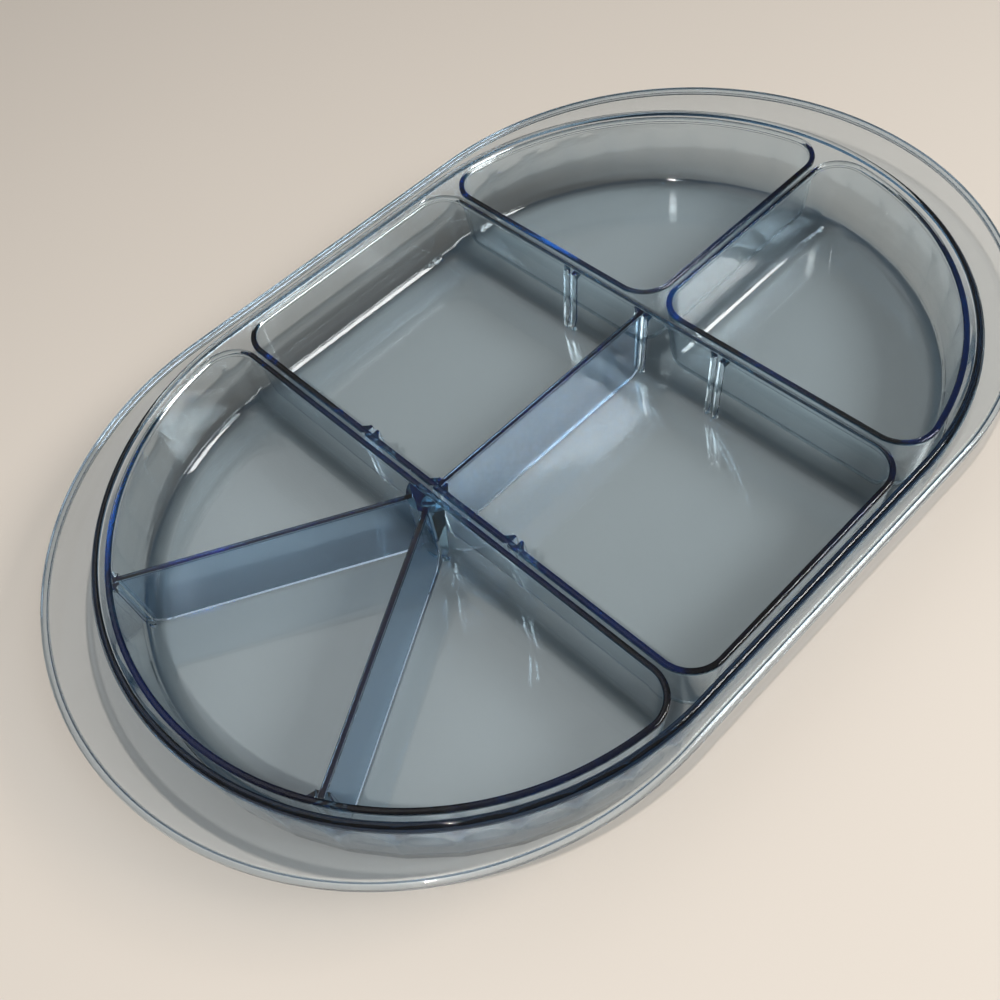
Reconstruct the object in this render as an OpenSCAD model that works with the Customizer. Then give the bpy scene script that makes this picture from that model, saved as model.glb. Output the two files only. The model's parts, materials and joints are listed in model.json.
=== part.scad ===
// Chip and dip server: an oval serving tray, four lift-out cups and three slide-in dividers.
// The origin is the middle of the tray's flat bottom. +X runs along the tray towards the two
// quarter-round cups, +Y is its left long side and +Z is up.

/* [Tray] */
// Length of the straight run between the tray's two round ends
straight_run = 117; // [100:1:150]
// Radius of the round ends of the tray's opening, at the rim
opening_r = 121.4; // [104:0.2:146]
// Height of the flange's top face above the table
tray_h = 36; // [33:0.5:50]
// Thickness of the tray's wall at the rim
tray_wall = 2.7; // [2.2:0.1:4]
// Thickness of the tray's floor
tray_floor = 2.4; // [1.6:0.1:4]
// Draft of the inside of the tray's wall, in degrees
tray_inner_draft = 5; // [3:0.5:6]
// Draft of the smooth band outside, under the flange, in degrees
band_draft = 3; // [1:0.5:4]
// Draft of the flat facets cut into the outside, in degrees
facet_draft = 5.5; // [5:0.5:7]
// Number of facets round each end
facets_per_end = 20; // [12:2:30]
// Distance from the flange's underside down to the top of the facets' arches
facet_drop = 4; // [2:0.5:8]
// Radius of the cove between the tray's inner wall and its floor
tray_cove = 4; // [2:0.5:6]

/* [Flange] */
// Reach of the flange past the wall on the long sides
flange_side = 6.4; // [5:0.2:12]
// Reach of the flange past the wall at the two ends, where it is held
flange_end = 20.4; // [14:0.2:30]
// Thickness of the flange
flange_t = 2.4; // [1.8:0.1:4]
// Height of the turned-down lip round the flange's edge
lip_h = 4.6; // [3.4:0.1:8]
// Height of the bead round the opening, above the flange
bead_h = 0.8; // [0.4:0.1:1.4]
// Radius of that bead
bead_r = 1.6; // [1.4:0.1:2]

/* [Cups] */
// Gap between the cups and the tray's wall at the rim
cup_gap = 2.4; // [1.2:0.1:4]
// Gap between neighbouring cups at the rim
cup_spacing = 1.8; // [1.2:0.1:4]
// Height of a cup
cup_h = 34; // [28:0.5:46]
// Thickness of a cup's wall
cup_wall = 2; // [1.6:0.1:3]
// Thickness of a cup's floor
cup_floor = 2; // [1.6:0.1:3]
// Draft of a cup's walls, in degrees
cup_draft = 5; // [2:0.5:8]
// Radius of the cove inside, between a cup's wall and its floor
cup_cove = 7; // [4:0.5:8]
// Radius of a cup's upright corners, outside, at the rim
corner_r = 14; // [12:0.5:22]
// Width of the bead along a cup's rim
rim_w = 2.4; // [2.2:0.1:3.2]
// Height of that bead
rim_h = 2.2; // [1.6:0.1:3]
// Chamfer along the bead's two top edges
rim_chamfer = 0.7; // [0.3:0.1:1]

/* [Dividers] */
// Thickness of a divider
divider_t = 2; // [1.4:0.1:3]
// Radius of the bead along a divider's top edge
divider_bead_r = 1.15; // [1:0.05:1.6]
// Clearance on each side of a divider in its slot
slot_clear = 0.2; // [0.1:0.05:0.5]
// Clearance between a divider's end and the wall that it meets
end_clear = 0.4; // [0.3:0.1:1]
// Distance from the cups' rim down to a divider's top edge
divider_drop = 0.6; // [0:0.1:4]
// Distance between the centre cup's slots
slot_pitch = 38; // [24:1:46]
// Thickness of each of the two ribs that make a slot
rib_t = 1.4; // [1:0.1:2.4]
// Depth of a slot, from the wall to the ribs' edge
rib_depth = 2.6; // [1.6:0.1:4]
// Size of the gusset at the head of each rib
gusset = 2.2; // [1:0.1:3]
// Angle of each fan divider from the tray's long axis
fan_angle = 30; // [22:1:40]

/* [Hidden] */
$fn = 96;
// longer than any inside distance, for profiles that are filled up to their axis
reach = 400;
// how far pieces of one solid run into each other
sink = 0.6;
// how far a straight side runs into a rounding that it meets
bite = 0.05;
arc_x = straight_run / 2;
wall_r = opening_r + tray_wall;
flange_r = wall_r + flange_side;
flange_arc_x = arc_x + flange_end - flange_side;
facet_angle = 180 / facets_per_end;
facet_z = tray_h - flange_t - facet_drop;
facet_r = wall_r - (tray_h - facet_z) * tan(band_draft);
cup_r = opening_r - cup_gap;
cup_side = cup_spacing / 2;
cup_depth = cup_h - cup_floor;
foot_r = cup_cove + cup_floor;
foot_shift = cup_depth * tan(cup_draft);
floor_inset = corner_r - sink;
slot_w = divider_t + 2 * slot_clear;
rib_top = cup_h - rim_chamfer;
gusset_h = gusset * 1.6;
divider_h = cup_depth - divider_drop;
hub_slot_r = (cup_side + cup_wall + foot_shift) / cos(fan_angle) + sink;
hub_r = hub_slot_r + rib_depth;
plastic_clear = [0.78, 0.80, 0.77, 0.45];
plastic_blue = [0.36, 0.50, 0.58, 0.55];
plastic_violet = [0.36, 0.47, 0.60, 0.8];

// A cup's round end and its flat walls are both tangent to its corner. The corner's centre is
// corner_c from the wall and this far along it from the round end's centre line.
corner_c = cup_side + corner_r;
corner_y = sqrt(pow(cup_r - corner_r, 2) - pow(corner_c, 2));
// The corner ends and the wall starts here, which is corner_y in whole thousandths
wall_end = round(corner_y * 1000) / 1000;
// A far point on the line through both centres, where the round end's arc ends
arc_end = [corner_c, corner_y] * reach / (cup_r - corner_r);

// Moves by v in two steps, whole hundredths first, so that no digit is lost
module move_exactly(v) {
    whole = [for (x = v) floor(x * 100) / 100];
    translate(whole) translate(v - whole) children();
}

// What is left of a profile, whose x is the distance outwards, past this x
module clip_inside(x) {
    intersection() {
        children();
        translate([x, -reach / 2]) square(reach);
    }
}

// What is left of a solid over this region of the plan
module keep_over(points) {
    intersection() {
        children();
        translate([0, 0, -reach / 2]) linear_extrude(reach) polygon(points);
    }
}

// Turns a profile round a circle of radius r, cut off at this depth inside it or at the centre
module ring(r, angle = 360, depth = reach) {
    rotate_extrude(angle = angle) clip_inside(max(0, r - depth)) translate([r, 0]) children();
}

// Runs a profile straight along +Y, with its outer side towards +X
module straight(length, depth = reach) {
    translate([0, length, 0]) rotate([90, 0, 0]) linear_extrude(length)
        clip_inside(-depth) children();
}

// Sweeps a profile round a rectangle, whose corners' centres are at half_x and half_y from the
// middle, with corners of radius r
module sweep_box(half_x, half_y, r, depth) {
    for (turn = [0, 180])
        rotate(turn) {
            for (end = [0, 1])
                translate([half_x, (end * 2 - 1) * half_y, 0])
                    rotate(end * 90 - 90) ring(r, 90, min(r, depth)) children();
            if (half_y > 0)
                translate([half_x + r, -half_y, 0]) straight(2 * half_y, depth) children();
            rotate(90) translate([half_y + r, -half_x, 0]) straight(2 * half_x, depth) children();
        }
}

// Sweeps a profile round a stadium, with its round ends centred at half_run from the middle on X
module sweep_stadium(half_run, r) {
    sweep_box(half_run, 0, r, r) children();
}

// The upright corner of a cup at corner_c and corner_y, and the flat wall from there to y = from
module corner_and_wall(from) {
    keep_over([[-reach, wall_end], [reach, wall_end], [reach, reach], [-reach, reach]])
        keep_over([[0, 0], arc_end, [-reach, reach]])
            move_exactly([corner_c, corner_y, 0]) ring(corner_r) children();
    translate([cup_side, wall_end, 0])
        rotate(180) straight(wall_end - from, corner_r) children();
}

// Sweeps a profile round a half-round cup, whose flat wall faces -X
module sweep_half_round() {
    keep_over([[0, 0], [arc_end.x, -arc_end.y], [reach, -reach], [reach, reach], arc_end])
        ring(cup_r, depth = corner_r) children();
    for (side = [0, 1])
        mirror([0, side, 0]) corner_and_wall(0) children();
}

// Sweeps a profile round a quarter-round cup, whose flat walls face -X and -Y
module sweep_quarter_round() {
    keep_over([[0, 0], [arc_end.y, arc_end.x], [reach, reach], arc_end])
        ring(cup_r, depth = corner_r) children();
    translate([corner_c, corner_c, 0]) rotate(180) ring(corner_r, 90) children();
    for (side = [0, 1])
        mirror([side, -side, 0]) corner_and_wall(corner_c) children();
}

// Half of a drafted section, filled inwards: from base up to top, with its side at -inset where
// the height is at_h, and a rounding of radius round_r along its foot, which the side runs into
module drafted_half(base, top, at_h, inset, draft, round_r) {
    z = base + round_r;
    x = -inset - (at_h - z) * tan(draft) - round_r / cos(draft);
    side_r = round_r - bite;
    polygon([[-reach, base], [x, base],
             [x + side_r * cos(draft), z - side_r * sin(draft)],
             [-inset - (at_h - top) * tan(draft), top], [-reach, top]]);
    translate([x, z]) circle(round_r);
}

// ---- Tray ----

module bowl_outside() {
    sweep_stadium(arc_x, wall_r)
        polygon([[-reach, 0], [-tray_h * tan(band_draft), 0], [0, tray_h], [-reach, tray_h]]);
}

// A slab whose inner face is one facet, wide enough to reach its neighbours
module facet_cut(width) {
    translate([facet_r, 0, facet_z])
        rotate([0, facet_draft, 0])
            translate([0, -width / 2, -tray_h - sink])
                cube([tray_wall + sink, width, tray_h + 2 * sink]);
}

module facet_cuts() {
    facet_w = 2.4 * wall_r * tan(facet_angle / 2);
    last = facets_per_end / 2 - 1;
    for (end = [0, 180], k = [-last : last])
        rotate(end) translate([arc_x, 0, 0]) rotate(k * facet_angle) facet_cut(facet_w);
    for (side = [-90, 90])
        rotate(side) facet_cut(straight_run + facet_w);
}

module flange() {
    translate([0, 0, tray_h - flange_t])
        sweep_stadium(flange_arc_x, flange_r - flange_t / 2)
            translate([-reach, 0]) square([reach, flange_t]);
    sweep_stadium(flange_arc_x, flange_r) {
        translate([-flange_t, tray_h - lip_h + flange_t / 2]) square([flange_t, lip_h - flange_t]);
        for (z = [tray_h - lip_h + flange_t / 2, tray_h - flange_t / 2])
            translate([-flange_t / 2, z]) circle(d = flange_t);
    }
    sweep_stadium(arc_x, opening_r)
        translate([tray_wall / 3, tray_h + bead_h - bead_r]) circle(bead_r);
}

module serving_tray() {
    color(plastic_clear)
        difference() {
            union() {
                difference() {
                    bowl_outside();
                    facet_cuts();
                }
                flange();
            }
            sweep_stadium(arc_x, opening_r)
                drafted_half(tray_floor, tray_h + bead_h + sink, tray_h + bead_h, 0,
                             tray_inner_draft, tray_cove);
        }
}

// ---- Cups, each standing at its own height 0 ----

module cup_profile() {
    difference() {
        drafted_half(0, cup_h - rim_h / 2, cup_h, 0, cup_draft, foot_r);
        drafted_half(cup_floor, cup_h + sink, cup_h, cup_wall, cup_draft, cup_cove);
    }
    translate([-cup_wall / 2, cup_h]) {
        low = -rim_h;
        side = rim_w / 2;
        top = side - rim_chamfer;
        polygon([[-side, low], [side, low], [side, -rim_chamfer], [top, 0],
                 [-top, 0], [-side, -rim_chamfer]]);
    }
}

// Plan of the floor inside a round end, kept past [x, y] from the round end's centre
module round_floor(x, y) {
    intersection() {
        circle(cup_r - floor_inset);
        translate([x, y]) square(reach);
    }
}

// A pair of ribs with a slot between them, against a wall whose outside at the rim is at x = 0
// and whose inside faces -X
module slot_ribs() {
    lean = tan(cup_draft);
    root = -cup_wall + sink;
    edge = -cup_wall - rib_depth;
    foot = cup_floor - sink;
    for (side = [-1, 1])
        translate([0, side * (slot_w + rib_t) / 2, 0]) {
            translate([0, rib_t / 2, 0])
                rotate([90, 0, 0])
                    linear_extrude(rib_t)
                        polygon([[root - (cup_h - foot) * lean, foot],
                                 [edge - (cup_h - foot) * lean, foot],
                                 [edge - (cup_h - rib_top) * lean, rib_top],
                                 [root - (cup_h - rib_top) * lean, rib_top]]);
            translate([0, 0, rib_top - gusset_h])
                linear_extrude(gusset_h)
                    polygon([[root, 0], [root, side * (rib_t / 2 + gusset)],
                             [-cup_wall, side * (rib_t / 2 + gusset)],
                             [-cup_wall - gusset, side * rib_t / 2], [-cup_wall - gusset, 0]]);
        }
}

// A round boss on the flat wall, with one slot for each fan divider. The boss is centred on the
// round end's own centre, and the wall is on its -X side.
module fan_hub() {
    wall_x = cup_side + cup_wall - sink;
    difference() {
        intersection() {
            cylinder(r = hub_r, h = rib_top);
            translate([wall_x, 0, 0])
                rotate([90, 0, 0])
                    linear_extrude(4 * hub_r, center = true)
                        polygon([[(cup_h - cup_floor) * tan(cup_draft), cup_floor - sink],
                                 [0, cup_h], [reach, cup_h], [reach, cup_floor - sink]]);
        }
        for (side = [-1, 1])
            rotate(side * fan_angle)
                translate([hub_slot_r, -slot_w / 2, cup_floor])
                    cube([hub_r, slot_w, cup_h]);
    }
}

// The half-round cup, with its round end towards +X
module half_round_cup() {
    sweep_half_round() cup_profile();
    linear_extrude(cup_floor) round_floor(cup_side + floor_inset, -reach / 2);
    fan_hub();
    for (side = [-1, 1])
        rotate(side * fan_angle) translate([cup_r, 0, 0]) slot_ribs();
}

module round_end_cup() {
    color(plastic_blue)
        translate([-arc_x, 0, tray_floor]) rotate(180) half_round_cup();
}

module centre_cup() {
    half_x = arc_x - cup_side;
    color(plastic_blue)
        translate([0, 0, tray_floor]) {
            sweep_box(half_x - corner_r, cup_r - corner_r, corner_r, corner_r) cup_profile();
            linear_extrude(cup_floor)
                square(2 * [half_x - floor_inset, cup_r - floor_inset], center = true);
            for (turn = [0, 180], y = [-slot_pitch, 0, slot_pitch])
                rotate(turn) translate([half_x, y, 0]) slot_ribs();
        }
}

module quarter_cup() {
    floor_start = cup_side + floor_inset;
    color(plastic_blue) {
        sweep_quarter_round() cup_profile();
        linear_extrude(cup_floor) round_floor(floor_start, floor_start);
    }
}

module quarter_cup_left() {
    translate([arc_x, 0, tray_floor]) quarter_cup();
}

module quarter_cup_right() {
    translate([arc_x, 0, tray_floor]) rotate(-90) quarter_cup();
}

// ---- Dividers ----

// One drafted end of a divider, from x = 0 out to end_x at the rim, standing on its cup's floor
module divider_end(end_x, round_r) {
    intersection() {
        drafted_half(0, divider_h, cup_depth, -end_x, cup_draft, round_r);
        square([reach, divider_h]);
    }
}

module divider_plate(bead_from, bead_to) {
    rotate([90, 0, 0]) linear_extrude(divider_t, center = true) children();
    translate([bead_from, 0, divider_h - divider_bead_r])
        rotate([0, 90, 0]) cylinder(r = divider_bead_r, h = bead_to - bead_from);
}

module centre_divider() {
    half_x = arc_x - cup_side - cup_wall - end_clear;
    bead_x = half_x - rib_depth - end_clear;
    color(plastic_violet)
        translate([0, 0, tray_floor + cup_floor])
            divider_plate(-bead_x, bead_x) {
                divider_end(half_x, cup_cove + 1);
                mirror([1, 0]) divider_end(half_x, cup_cove + 1);
            }
}

module fan_divider() {
    inner_x = hub_slot_r + end_clear;
    outer_x = cup_r - cup_wall - end_clear;
    heel_r = (cup_cove + 1) / cos(fan_angle);
    color(plastic_violet)
        divider_plate(hub_r + end_clear, outer_x - rib_depth - end_clear)
            difference() {
                divider_end(outer_x, cup_cove + 1);
                square([inner_x, divider_h]);
                translate([inner_x, 0])
                    difference() {
                        translate([-heel_r, -heel_r]) square(2 * heel_r);
                        translate([heel_r, heel_r]) circle(heel_r);
                    }
            }
}

module fan_divider_at(angle) {
    translate([-arc_x, 0, tray_floor + cup_floor]) rotate(180 + angle) fan_divider();
}

module fan_divider_left() {
    fan_divider_at(-fan_angle);
}

module fan_divider_right() {
    fan_divider_at(fan_angle);
}

serving_tray();
round_end_cup();
centre_cup();
quarter_cup_left();
quarter_cup_right();
centre_divider();
fan_divider_left();
fan_divider_right();
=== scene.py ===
"""The looks of the chip and dip server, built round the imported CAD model.

The tray and the four cups are rebuilt as smooth meshes that stand for their CAD nodes.
The three dividers are the CAD nodes themselves, with a better material.
Shapes are worked out in millimetres, in the CAD's frame, and become metres in new_object().
"""

import json
import math

import bmesh
import bpy
from mathutils import Matrix, Vector

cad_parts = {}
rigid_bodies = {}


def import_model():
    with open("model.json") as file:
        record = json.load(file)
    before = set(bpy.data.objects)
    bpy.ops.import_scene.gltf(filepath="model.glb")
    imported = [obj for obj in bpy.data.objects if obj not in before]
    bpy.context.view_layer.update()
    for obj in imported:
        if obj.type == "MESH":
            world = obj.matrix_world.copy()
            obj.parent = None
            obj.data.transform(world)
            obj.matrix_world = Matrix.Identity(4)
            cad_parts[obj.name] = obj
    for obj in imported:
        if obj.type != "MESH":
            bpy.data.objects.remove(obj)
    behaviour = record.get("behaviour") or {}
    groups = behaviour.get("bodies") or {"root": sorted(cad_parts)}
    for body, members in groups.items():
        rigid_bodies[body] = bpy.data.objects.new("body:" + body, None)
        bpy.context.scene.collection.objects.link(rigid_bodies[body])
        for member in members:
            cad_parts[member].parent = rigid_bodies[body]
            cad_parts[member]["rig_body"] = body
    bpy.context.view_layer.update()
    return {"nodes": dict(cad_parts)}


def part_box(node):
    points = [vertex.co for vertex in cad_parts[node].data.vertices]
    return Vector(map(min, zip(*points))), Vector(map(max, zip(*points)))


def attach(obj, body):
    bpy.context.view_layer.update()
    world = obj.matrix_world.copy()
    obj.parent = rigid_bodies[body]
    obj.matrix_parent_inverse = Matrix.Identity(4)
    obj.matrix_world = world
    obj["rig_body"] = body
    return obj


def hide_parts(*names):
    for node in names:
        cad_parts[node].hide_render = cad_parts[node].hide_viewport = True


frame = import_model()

MM = 0.001

# Shapes that the CAD boxes don't give by themselves: millimetres, and degrees for angles

# Tray, inside and outside
TRAY_FLOOR = 2.4
TRAY_WALL = 2.7
TRAY_DRAFT = 5.0
TRAY_COVE = 4.0
BEAD_H = 0.8
BEAD_R = 1.6
BEAD_START = 124
BAND_DRAFT = 3.0
BAND_FILLET = 0.5
FACET_DRAFT = 5.5
FACET_ANGLE = 9.0
FACET_DROP = 4.0
FACET_STEPS = 6

# The tray's bottom edge, from the facets inwards: how high and how far in each row lies
BOTTOM_ROWS = [(1.0, 0), (0.3, 0.25), (0.0, 0.9)]

# Flange
FLANGE_T = 2.4
FLANGE_END = 20.4
FLANGE_SIDE = 6.4
LIP_H = 4.6
LIP_FILLET = 0.8

# Cups. The air gap is under a cup's floor, because faces that touch exactly render black
CUP_WALL = 2.0
CUP_FLOOR = 2.0
CUP_DRAFT = 5.0
CUP_COVE = 7.0
CORNER_R = 14.0
AIR_GAP = 0.12
RIM_W = 2.4
RIM_H = 2.2
RIM_R = 1.0
NECK_R = 0.3

# Slots and the hub. A rib's back is sunk into its wall and its foot into the floor
DIVIDER_T = 2.0
SLOT_CLEAR = 0.2
SLOT_PITCH = 38.0
FAN_ANGLE = 30.0
RIB_T = 1.4
RIB_DEPTH = 2.6
RIB_TOP_DROP = 0.9
WALL_SINK = 0.7
FLOOR_SINK = 0.5
GUSSET = 2.2
GUSSET_H = 1.6 * GUSSET
GUSSET_TAPER = 0.55
GUSSET_PROUD = 0.02
GUSSET_LIP = 0.1
HUB_SINK = 0.6
HUB_PLAY = 0.6
HUB_LEAN = 0.1

# Smooth shading keeps an edge crisp where it turns by more than this
TRAY_CREASE = 40
CUP_CREASE = 32

# Looks from here on. Plastic: the cloudiest spots are this many times as rough as the clearest
PLASTIC_IOR = 1.5
CLOUDY = 2.6

# How much of a lamp's red, green and blue light an upright plastic face lets through,
# and how much more of each than its material says a flat one does
UPRIGHT_PASSES = (0.26, 0.29, 0.31)
FLAT_EXTRA = (0, 0.005, 0.01)

# The table, in millimetres: half its side, and how far below the tray it lies, so that they don't touch
TABLE_HALF = 3000
TABLE_DROP = 0.2

# Light colours
WARM = (1, 0.98, 0.95)
COOL = (0.96, 0.97, 1)

# Bounces that light is followed for, off and through surfaces, and straight through clear ones
BOUNCES = 48
CLEAR_BOUNCES = 32


def mm_box(node):
    """A CAD node's lowest and highest corners, in millimetres."""
    low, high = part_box(node)
    return low / MM, high / MM


# ---- Profiles and outlines. A profile's x is the distance outwards from an outline ----


def arc(x, y, r, start, end, steps):
    """Points of an arc, from one angle to another in degrees, both ends included."""
    angles = [math.radians(start + (end - start) * i / steps) for i in range(steps + 1)]
    return [(x + r * math.cos(a), y + r * math.sin(a)) for a in angles]


def foot(base, top_h, inset, draft, r, steps):
    """The rounding between a floor at height base and a drafted side, from the floor up."""
    z = base + r
    tilt = math.radians(draft)
    x = -inset - (top_h - z) * math.tan(tilt) - r / math.cos(tilt)
    return arc(x, z, r, -90, -draft, steps)


def cup_lean(drop):
    """How far a cup's side has come inwards at this distance below the rim."""
    return drop * math.tan(math.radians(CUP_DRAFT))


def cup_profile(h):
    """From the inside of the floor up, over the rim's bead and down to the foot."""
    inside = foot(CUP_FLOOR - AIR_GAP / 2, h, CUP_WALL, CUP_DRAFT, CUP_COVE, 12)
    outside = foot(AIR_GAP, h, 0, CUP_DRAFT, CUP_COVE + CUP_FLOOR, 12)
    centre = -CUP_WALL / 2
    half = RIM_W / 2
    neck_z = h - RIM_H
    neck_in = (-CUP_WALL - cup_lean(RIM_H), neck_z)
    neck_out = (-cup_lean(RIM_H), neck_z)
    bead = arc(centre - half + NECK_R, neck_z + NECK_R, NECK_R, 270, 180, 3)
    bead += arc(centre - half + RIM_R, h - RIM_R, RIM_R, 180, 90, 7)
    bead += arc(centre + half - RIM_R, h - RIM_R, RIM_R, 90, 0, 7)
    bead += arc(centre + half - NECK_R, neck_z + NECK_R, NECK_R, 0, -90, 3)
    return inside + [neck_in] + bead + [neck_out] + outside[::-1]


def outline_samples(arcs):
    """Samples (centre, direction, radius) round an outline of arcs, closer together on wide arcs."""
    samples = []
    for x, y, r, start, end in arcs:
        step = 1.5 if r > 50 else 6
        steps = max(10, round((end - start) / step))
        for dx, dy in arc(0, 0, 1, start, end, steps):
            samples.append((x, y, dx, dy, r))
    return samples


def corner_place(r, side):
    """Where a corner meets the round wall: its centre's x and y, and its angle off the axis."""
    x = side + CORNER_R
    y = math.sqrt((r - CORNER_R) ** 2 - x ** 2)
    angle = math.degrees(math.asin(x / (r - CORNER_R)))
    return x, y, angle


def half_round(r, side):
    """A half-round outline with its flat side at x = side."""
    x, y, a = corner_place(r, side)
    return [
        (0, 0, r, a - 90, 90 - a),
        (x, y, CORNER_R, 90 - a, 180),
        (x, -y, CORNER_R, 180, 270 + a),
    ]


def quarter_round(r, side):
    """A quarter-round outline with its flat sides at x = side and y = side."""
    x, y, a = corner_place(r, side)
    return [
        (0, 0, r, a, 90 - a),
        (x, y, CORNER_R, 90 - a, 180),
        (x, x, CORNER_R, 180, 270),
        (y, x, CORNER_R, 270, 360 + a),
    ]


def round_box(half_x, half_y):
    """A rectangle with rounded corners."""
    x, y = half_x - CORNER_R, half_y - CORNER_R
    corners = [(x, y), (-x, y), (-x, -y), (x, -y)]
    return [(cx, cy, CORNER_R, 90 * i, 90 * i + 90) for i, (cx, cy) in enumerate(corners)]


# ---- Meshes ----


def new_object(name, bm, place=Matrix.Identity(4)):
    """A mesh object from a bmesh in millimetres, which it uses up."""
    bmesh.ops.recalc_face_normals(bm, faces=bm.faces)
    mesh = bpy.data.meshes.new(name)
    bm.to_mesh(mesh)
    bm.free()
    mesh.transform(Matrix.Scale(MM, 4) @ place)
    obj = bpy.data.objects.new(name, mesh)
    bpy.context.scene.collection.objects.link(obj)
    return obj


def loft(rings):
    """A closed solid from rings of as many points each, capped at both ends, and its rows of vertices."""
    bm = bmesh.new()
    rows = [[bm.verts.new(p) for p in ring] for ring in rings]
    count = len(rows[0])
    for low, high in zip(rows, rows[1:]):
        for i in range(count):
            j = (i + 1) % count
            bm.faces.new((low[i], low[j], high[j], high[i]))
    bm.faces.new(rows[0])
    bm.faces.new(rows[-1][::-1])
    return bm, rows


def prism(bottom, top, low, high):
    """A solid between two outlines of as many points each, at two heights."""
    bm, _ = loft([[(x, y, low) for x, y in bottom], [(x, y, high) for x, y in top]])
    return bm


def swept_cup(name, arcs, h, place):
    """A plain cup: its profile carried round an outline."""
    samples = outline_samples(arcs)
    rings = []
    for out, z in cup_profile(h):
        rings.append([(x + (r + out) * dx, y + (r + out) * dy, z) for x, y, dx, dy, r in samples])
    bm, _ = loft(rings)
    return new_object(name, bm, place)


def join(target, parts):
    """Adds small solids to a cup, as one closed mesh."""
    for bm, place in parts:
        tool = new_object("tool", bm, place)
        union = target.modifiers.new("union", "BOOLEAN")
        union.operation = "UNION"
        union.solver = "EXACT"
        union.object = tool
        bpy.context.view_layer.objects.active = target
        bpy.ops.object.modifier_apply(modifier=union.name)
        bpy.data.objects.remove(tool)


def smooth(obj, crease):
    """Smooth shading, with edges sharper than the crease angle kept crisp."""
    obj.data.shade_smooth()
    obj.data.set_sharp_from_angle(angle=math.radians(crease))


# ---- Slots and the hub ----


def slot_parts(h, slot_w, place):
    """The two ribs of a slot and their gussets, on a wall whose outside at the rim is x = 0."""
    top, low = h - RIB_TOP_DROP, CUP_FLOOR - FLOOR_SINK
    wall_back = WALL_SINK - CUP_WALL
    parts = []

    def rib_plan(z, near, far):
        wall = -cup_lean(h - z)
        inner, outer = wall - CUP_WALL - RIB_DEPTH, wall + wall_back
        return [(inner, near), (outer, near), (outer, far), (inner, far)]

    for side in (-1, 1):
        near = side * slot_w / 2
        far = side * (slot_w / 2 + RIB_T)
        tip = side * (slot_w / 2 + RIB_T + GUSSET)
        parts.append((prism(rib_plan(low, near, far), rib_plan(top, near, far), low, top), place))
        inner_y = near + side * GUSSET_PROUD
        head = [
            (-CUP_WALL - GUSSET, inner_y),
            (wall_back, inner_y),
            (wall_back, tip),
            (-CUP_WALL - GUSSET_LIP, tip),
            (-CUP_WALL - GUSSET, far),
        ]
        base = [(x, near + (y - near) * GUSSET_TAPER) for x, y in head]
        parts.append((prism(base, head, top - GUSSET_H, top + GUSSET_PROUD), place))
    return parts


def hub_parts(h, side, slot_w, place):
    """The boss on the half-round cup's flat wall, with the fan's two slots in its outline."""
    shift = cup_lean(h - CUP_FLOOR)
    slot_r = (side + CUP_WALL + shift) / math.cos(math.radians(FAN_ANGLE)) + HUB_PLAY
    r = slot_r + RIB_DEPTH
    half = slot_w / 2
    edge = math.degrees(math.asin(half / r))

    def slot_bottom(angle):
        a = math.radians(angle)
        cos, sin = math.cos(a), math.sin(a)
        return [(slot_r * cos - s * half * sin, slot_r * sin + s * half * cos) for s in (-1, 1)]

    def outline(wall):
        end = math.degrees(math.acos(wall / r))
        points = arc(0, 0, r, -end, -FAN_ANGLE - edge, 8)
        points += slot_bottom(-FAN_ANGLE)
        points += arc(0, 0, r, -FAN_ANGLE + edge, FAN_ANGLE - edge, 10)
        points += slot_bottom(FAN_ANGLE)
        points += arc(0, 0, r, FAN_ANGLE + edge, end, 8)
        return points

    wall_top = side + CUP_WALL - HUB_SINK
    bottom, top = outline(wall_top + shift), outline(wall_top + HUB_LEAN)
    return [(prism(bottom, top, CUP_FLOOR - FLOOR_SINK, h - RIB_TOP_DROP), place)]


# ---- Tray ----


def end_samples():
    """Directions round one end of the tray, each with its angle from the middle of its facet."""
    samples = []
    for i in range(round(180 / FACET_ANGLE) * FACET_STEPS + 1):
        angle = -90 + i * FACET_ANGLE / FACET_STEPS
        phase = (angle + 90 + FACET_ANGLE / 2) % FACET_ANGLE - FACET_ANGLE / 2
        samples.append((math.cos(math.radians(angle)), math.sin(math.radians(angle)), phase))
    return samples


def stadium_ring(half_run, radius, height, samples):
    """Points round both ends. Radius and height are numbers, or functions of the facet's phase."""
    ring = []
    for turn in (1, -1):
        for dx, dy, phase in samples:
            r = radius(phase) if callable(radius) else radius
            z = height(phase) if callable(height) else height
            ring.append((turn * (half_run + r * dx), turn * r * dy, z))
    return ring


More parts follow.
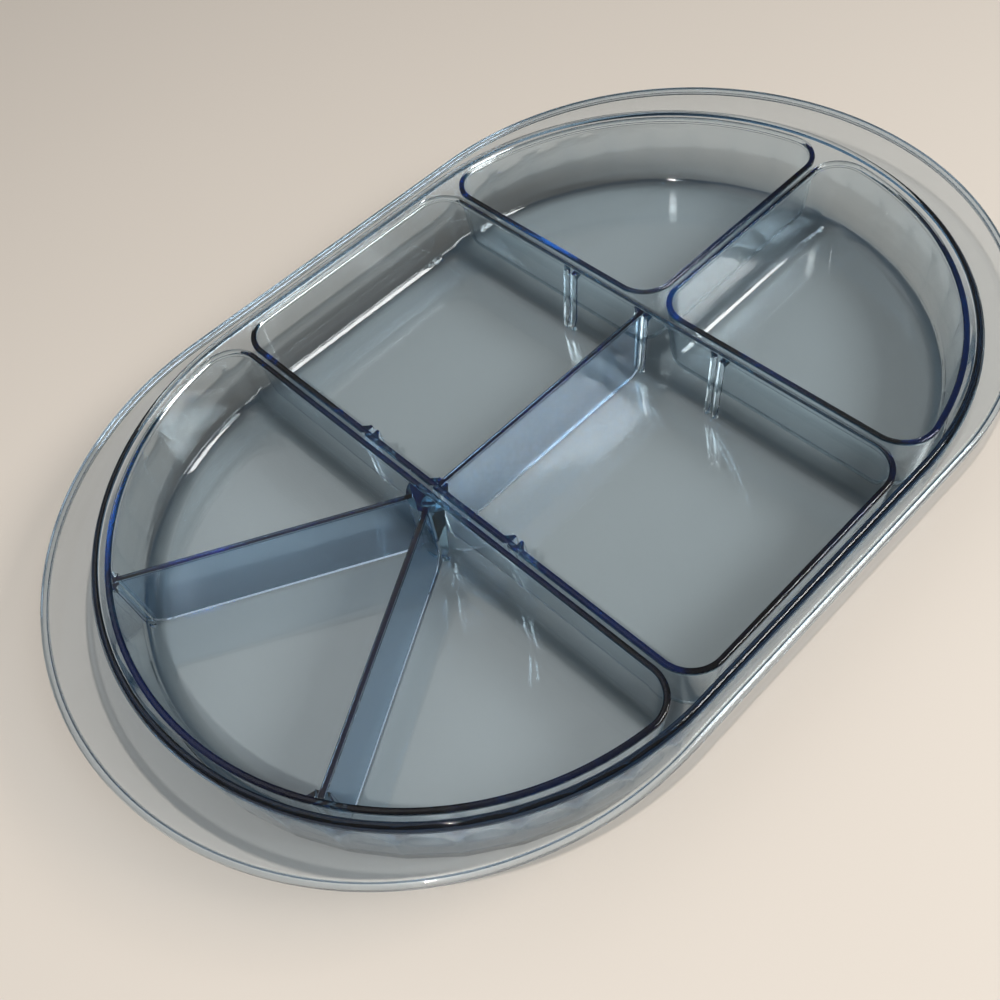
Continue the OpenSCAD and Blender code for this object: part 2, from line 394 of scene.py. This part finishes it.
def serving_tray():
    """The tray, from the middle of its floor over the bead and flange, down the facets to its bottom."""
    low, high = mm_box("serving_tray")
    top = high.z - low.z
    tray_h = top - BEAD_H
    flange_r = (high.y - low.y) / 2
    flange_run = (high.x - low.x) / 2 - flange_r
    half_run = flange_run - FLANGE_END + FLANGE_SIDE
    wall_r = flange_r - FLANGE_SIDE
    opening_r = wall_r - TRAY_WALL
    band_slope = math.tan(math.radians(BAND_DRAFT))
    facet_slope = math.tan(math.radians(FACET_DRAFT))
    under = tray_h - FLANGE_T
    facet_z = under - FACET_DROP
    facet_r = wall_r - (tray_h - facet_z) * band_slope

    def band_r(z):
        return wall_r - (tray_h - z) * band_slope

    def crease_z(phase):
        c = 1 / math.cos(math.radians(phase))
        return facet_z - facet_r * (c - 1) / (facet_slope * c - band_slope)

    def crease_r(phase):
        return band_r(crease_z(phase))

    def facet_r_at(z, inset):
        flat = facet_r - (facet_z - z) * facet_slope
        return lambda phase: flat / math.cos(math.radians(phase)) - inset

    bead_end = math.degrees(math.asin(1 - BEAD_H / BEAD_R))
    inside = foot(TRAY_FLOOR, top, 0, TRAY_DRAFT, TRAY_COVE, 10)
    inside += arc(TRAY_WALL / 3, top - BEAD_R, BEAD_R, BEAD_START, bead_end, 10)
    spec = [(half_run, opening_r + x, z) for x, z in inside]

    edge = FLANGE_T / 2
    lip = arc(-edge, tray_h - edge, edge, 90, 0, 6)
    lip += arc(-edge, tray_h - LIP_H + edge, edge, 0, -180, 10)
    lip += arc(-FLANGE_T - LIP_FILLET, under - LIP_FILLET, LIP_FILLET, 0, 90, 4)
    spec += [(flange_run, flange_r + x, z) for x, z in lip]

    spec.append((half_run, band_r(under) + BAND_FILLET, under))
    spec.append((half_run, band_r(under - BAND_FILLET), under - BAND_FILLET))
    crease_row = len(spec)
    spec.append((half_run, crease_r, crease_z))
    spec += [(half_run, facet_r_at(z, inset), z) for z, inset in BOTTOM_ROWS]

    samples = end_samples()
    bm, rows = loft([stadium_ring(*row, samples) for row in spec])

    crisp = set()
    crease = rows[crease_row]
    for i, vert in enumerate(crease):
        crisp.add(frozenset((vert, crease[(i + 1) % len(crease)])))
        from_edge = FACET_ANGLE / 2 - abs(samples[i % len(samples)][2])
        if abs(from_edge) < 0.01:
            crisp.add(frozenset((vert, rows[crease_row + 1][i])))
            crisp.add(frozenset((rows[crease_row + 1][i], rows[crease_row + 2][i])))
    flags = [frozenset(e.verts) in crisp for e in bm.edges]
    tray = new_object("serving_tray_shell", bm)
    smooth(tray, TRAY_CREASE)
    for mesh_edge, flag in zip(tray.data.edges, flags):
        if flag:
            mesh_edge.use_edge_sharp = True
    return tray


# ---- Cups ----


def build_cups():
    """The four cups, by the names of the CAD nodes that they stand for."""
    end_low, end_high = mm_box("round_end_cup")
    centre_low, centre_high = mm_box("centre_cup")
    h = end_high.z - end_low.z
    bead = (RIM_W - CUP_WALL) / 2
    r = centre_high.y - bead
    half_x = centre_high.x - bead
    side = (centre_low.x - end_high.x) / 2 + bead
    slot_w = DIVIDER_T + 2 * SLOT_CLEAR

    def move(x, y):
        return Matrix.Translation((x, y, 0))

    def turn(degrees):
        return Matrix.Rotation(math.radians(degrees), 4, "Z")

    middle = Matrix.Translation((0, 0, TRAY_FLOOR))
    left_end = middle @ move(-half_x - side, 0) @ turn(180)
    right_end = middle @ move(half_x + side, 0)

    round_end = swept_cup("round_end_cup_shell", half_round(r, side), h, left_end)
    parts = hub_parts(h, side, slot_w, left_end)
    for angle in (-FAN_ANGLE, FAN_ANGLE):
        parts += slot_parts(h, slot_w, left_end @ turn(angle) @ move(r, 0))
    join(round_end, parts)

    centre = swept_cup("centre_cup_shell", round_box(half_x, r), h, middle)
    parts = []
    for angle in (0, 180):
        for y in (-SLOT_PITCH, 0, SLOT_PITCH):
            parts += slot_parts(h, slot_w, middle @ turn(angle) @ move(half_x, y))
    join(centre, parts)

    quarter = quarter_round(r, side)
    cups = {
        "round_end_cup": round_end,
        "centre_cup": centre,
        "quarter_cup_left": swept_cup("quarter_cup_left_shell", quarter, h, right_end),
        "quarter_cup_right": swept_cup("quarter_cup_right_shell", quarter, h, right_end @ turn(-90)),
    }
    for cup in cups.values():
        smooth(cup, CUP_CREASE)
    return cups


# ---- Materials ----


def add_node(tree, kind, inputs=None, **settings):
    """A shader node with its settings and the values of its sockets."""
    node = tree.nodes.new("ShaderNode" + kind)
    for name, value in settings.items():
        setattr(node, name, value)
    for socket, value in (inputs or {}).items():
        node.inputs[socket].default_value = value
    return node


def noise(tree, vector, scale, detail):
    """A noise texture read at a vector. Returns its value socket."""
    node = add_node(tree, "TexNoise", {"Scale": scale, "Detail": detail})
    tree.links.new(vector, node.inputs["Vector"])
    return node.outputs["Fac"]


def bump(tree, height, strength, distance, normal=None):
    """A bump from a height, on top of another bump if one is given. Returns its normal socket."""
    node = add_node(tree, "Bump", {"Strength": strength, "Distance": distance})
    tree.links.new(height, node.inputs["Height"])
    if normal:
        tree.links.new(normal, node.inputs["Normal"])
    return node.outputs["Normal"]


def clear_surface(tree, roughness, scratch):
    """Glossy clear plastic, with cloudy roughness, slow moulding waves and fine scratches."""
    links = tree.links
    glass = add_node(tree, "BsdfPrincipled", {
        "Base Color": (1, 1, 1, 1), "Transmission Weight": 1, "IOR": PLASTIC_IOR})
    place = tree.nodes.new("ShaderNodeTexCoord").outputs["Object"]

    rough = add_node(tree, "MapRange", {
        "From Min": 0.35, "From Max": 0.75, "To Min": roughness, "To Max": roughness * CLOUDY})
    links.new(noise(tree, place, 38, 2), rough.inputs["Value"])
    links.new(rough.outputs["Result"], glass.inputs["Roughness"])

    waves = bump(tree, noise(tree, place, 55, 0), 0.05, 0.0006)
    stretch = add_node(tree, "Mapping", {"Scale": (1, 0.12, 1), "Rotation": (0, 0, 0.5)})
    links.new(place, stretch.inputs["Vector"])
    scuffs = noise(tree, stretch.outputs["Vector"], 900, 1)
    links.new(bump(tree, scuffs, scratch, 0.00004, waves), glass.inputs["Normal"])
    return glass.outputs["BSDF"]


def lit_through(tree, passes):
    """What lamps and the room's soft light go through: clear where a face is flat, dark where upright."""
    links = tree.links
    shape = add_node(tree, "NewGeometry")
    split = add_node(tree, "SeparateXYZ")
    flat = add_node(tree, "Math", {1: 4}, operation="POWER")
    flat_passes = [passes + extra for extra in FLAT_EXTRA]
    shade = add_node(tree, "Mix", {"A": (*UPRIGHT_PASSES, 1), "B": (*flat_passes, 1)}, data_type="RGBA")
    clear = add_node(tree, "BsdfTransparent")
    links.new(shape.outputs["Normal"], split.inputs["Vector"])
    links.new(split.outputs["Z"], flat.inputs[0])
    links.new(flat.outputs["Value"], shade.inputs["Factor"])
    links.new(shade.outputs["Result"], clear.inputs["Color"])
    return clear.outputs["BSDF"]


def plastic(name, absorb, roughness, scratch, passes):
    """Tinted plastic. absorb is what a metre of it takes from red, green and blue light,
    and passes is how much of a lamp's light each of its faces lets through."""
    mat = bpy.data.materials.new(name)
    mat.use_nodes = True
    tree = mat.node_tree
    tree.nodes.clear()
    links = tree.links
    out = add_node(tree, "OutputMaterial")

    path = add_node(tree, "LightPath")
    lighting = add_node(tree, "Math", operation="MAXIMUM")
    mix = add_node(tree, "MixShader")
    links.new(path.outputs["Is Shadow Ray"], lighting.inputs[0])
    links.new(path.outputs["Is Diffuse Ray"], lighting.inputs[1])
    links.new(lighting.outputs["Value"], mix.inputs["Fac"])
    links.new(clear_surface(tree, roughness, scratch), mix.inputs[1])
    links.new(lit_through(tree, passes), mix.inputs[2])
    links.new(mix.outputs["Shader"], out.inputs["Surface"])

    # The node takes density * (1 - colour) away, so the density is a little above the largest
    density = max(absorb) + 10
    colour = (*[1 - a / density for a in absorb], 1)
    volume = add_node(tree, "VolumeAbsorption", {"Color": colour, "Density": density})
    links.new(volume.outputs["Volume"], out.inputs["Volume"])
    return mat


def table_material():
    """A pale painted table: faint clouds of colour and a fine grain."""
    mat = bpy.data.materials.new("pale_table")
    mat.use_nodes = True
    tree = mat.node_tree
    links = tree.links
    shader = tree.nodes["Principled BSDF"]
    shader.inputs["Roughness"].default_value = 0.32
    place = tree.nodes.new("ShaderNodeTexCoord").outputs["Object"]
    ramp = add_node(tree, "ValToRGB")
    ramp.color_ramp.elements[0].color = (0.655, 0.60, 0.54, 1)
    ramp.color_ramp.elements[1].color = (0.69, 0.635, 0.575, 1)
    links.new(noise(tree, place, 3, 2), ramp.inputs["Fac"])
    links.new(ramp.outputs["Color"], shader.inputs["Base Color"])
    links.new(bump(tree, noise(tree, place, 700, 2), 0.05, 0.0002), shader.inputs["Normal"])
    return mat


# ---- Stage ----


def camera():
    """Looks down at the near side of the round end, tilted about its own line of sight."""
    azimuth, elevation, roll = math.radians(-35.98), math.radians(53.7), math.radians(-11.04)
    distance = 0.399
    target = Vector((-0.0463, -0.0221, 0.0366))
    across = math.cos(elevation)
    back = Vector((math.sin(azimuth) * across, -math.cos(azimuth) * across, math.sin(elevation)))
    data = bpy.data.cameras.new("camera")
    data.lens = 40.98
    data.sensor_width = 36
    data.clip_start = 0.01
    obj = bpy.data.objects.new("camera", data)
    level = back.to_track_quat("Z", "Y").to_matrix().to_4x4()
    spin = Matrix.Rotation(roll, 4, "Z")
    obj.matrix_world = Matrix.Translation(target + back * distance) @ level @ spin
    bpy.context.scene.collection.objects.link(obj)
    bpy.context.scene.camera = obj


def area_light(name, place, target, size, power, colour):
    """A rectangular lamp at a place, turned towards a target."""
    data = bpy.data.lights.new(name, "AREA")
    data.shape = "RECTANGLE"
    data.size, data.size_y = size
    data.energy = power
    data.color = colour
    obj = bpy.data.objects.new(name, data)
    aim = (Vector(place) - Vector(target)).to_track_quat("Z", "Y").to_matrix().to_4x4()
    obj.matrix_world = Matrix.Translation(place) @ aim
    bpy.context.scene.collection.objects.link(obj)


def table():
    """The pale floor under the tray."""
    bm = bmesh.new()
    bmesh.ops.create_grid(bm, x_segments=8, y_segments=8, size=TABLE_HALF)
    floor = new_object("table", bm)
    floor.location.z = -TABLE_DROP * MM
    floor.data.materials.append(table_material())


def room():
    """Soft light from above that fades towards the horizon, with vague light and dark areas."""
    world = bpy.data.worlds.new("room")
    world.use_nodes = True
    tree = world.node_tree
    links = tree.links
    direction = tree.nodes.new("ShaderNodeTexCoord").outputs["Generated"]
    split = add_node(tree, "SeparateXYZ")
    height = add_node(tree, "Math", {1: 0.45}, operation="MULTIPLY_ADD")
    ramp = add_node(tree, "ValToRGB")
    dark, light = ramp.color_ramp.elements
    dark.position = 0.35
    dark.color = (0.03, 0.032, 0.035, 1)
    light.position = 1
    light.color = (0.62, 0.60, 0.57, 1)
    links.new(direction, split.inputs["Vector"])
    links.new(split.outputs["Z"], height.inputs[0])
    links.new(noise(tree, direction, 2.2, 1), height.inputs[2])
    links.new(height.outputs["Value"], ramp.inputs["Fac"])
    links.new(ramp.outputs["Color"], tree.nodes["Background"].inputs["Color"])
    tree.nodes["Background"].inputs["Strength"].default_value = 0.55
    bpy.context.scene.world = world


def light_paths():
    """Enough bounces for light that travels along inside the walls and rims."""
    scene = bpy.context.scene
    scene.view_settings.view_transform = "Standard"
    scene.cycles.max_bounces = BOUNCES
    scene.cycles.glossy_bounces = BOUNCES
    scene.cycles.transmission_bounces = BOUNCES
    scene.cycles.transparent_max_bounces = CLEAR_BOUNCES
    scene.cycles.caustics_refractive = False
    scene.cycles.caustics_reflective = False
    scene.cycles.use_denoising = True


# ---- Assembly ----


def finish_piece(obj, node, slot):
    """Makes a mesh stand for a CAD node, in that node's body and material slot."""
    obj.data.materials.clear()
    obj.data.materials.append(materials[slot])
    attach(obj, frame["nodes"][node]["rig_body"])
    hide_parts(node)


camera()
table()
area_light("window", (0.65, -0.85, 1.0), (0.1, -0.1, 0), (0.8, 0.5), 15, WARM)
area_light("lamp", (-0.48, -0.29, 1.07), (0, 0, 0), (0.035, 0.035), 6.3, WARM)
area_light("ceiling", (-0.3, 0.7, 1.5), (0, 0, 0), (1.6, 1.2), 2.5, COOL)
room()
light_paths()

materials = {
    "clear_plastic": plastic("clear_plastic", (80, 52, 32), 0.012, 0.10, 0.87),
    "blue_plastic": plastic("blue_plastic", (46, 24, 13), 0.010, 0.10, 0.96),
    # The dividers: a blue tint like the cups', with far more absorption than theirs, which paints in the
    # shade their faces stand in
    "violet_plastic": plastic("violet_plastic", (280, 170, 80), 0.020, 0.12, 0.94),
}
finish_piece(serving_tray(), "serving_tray", "clear_plastic")
for node, cup in build_cups().items():
    finish_piece(cup, node, "blue_plastic")
for node in ("centre_divider", "fan_divider_left", "fan_divider_right"):
    for plate_slot in frame["nodes"][node].material_slots:
        plate_slot.material = materials["violet_plastic"]
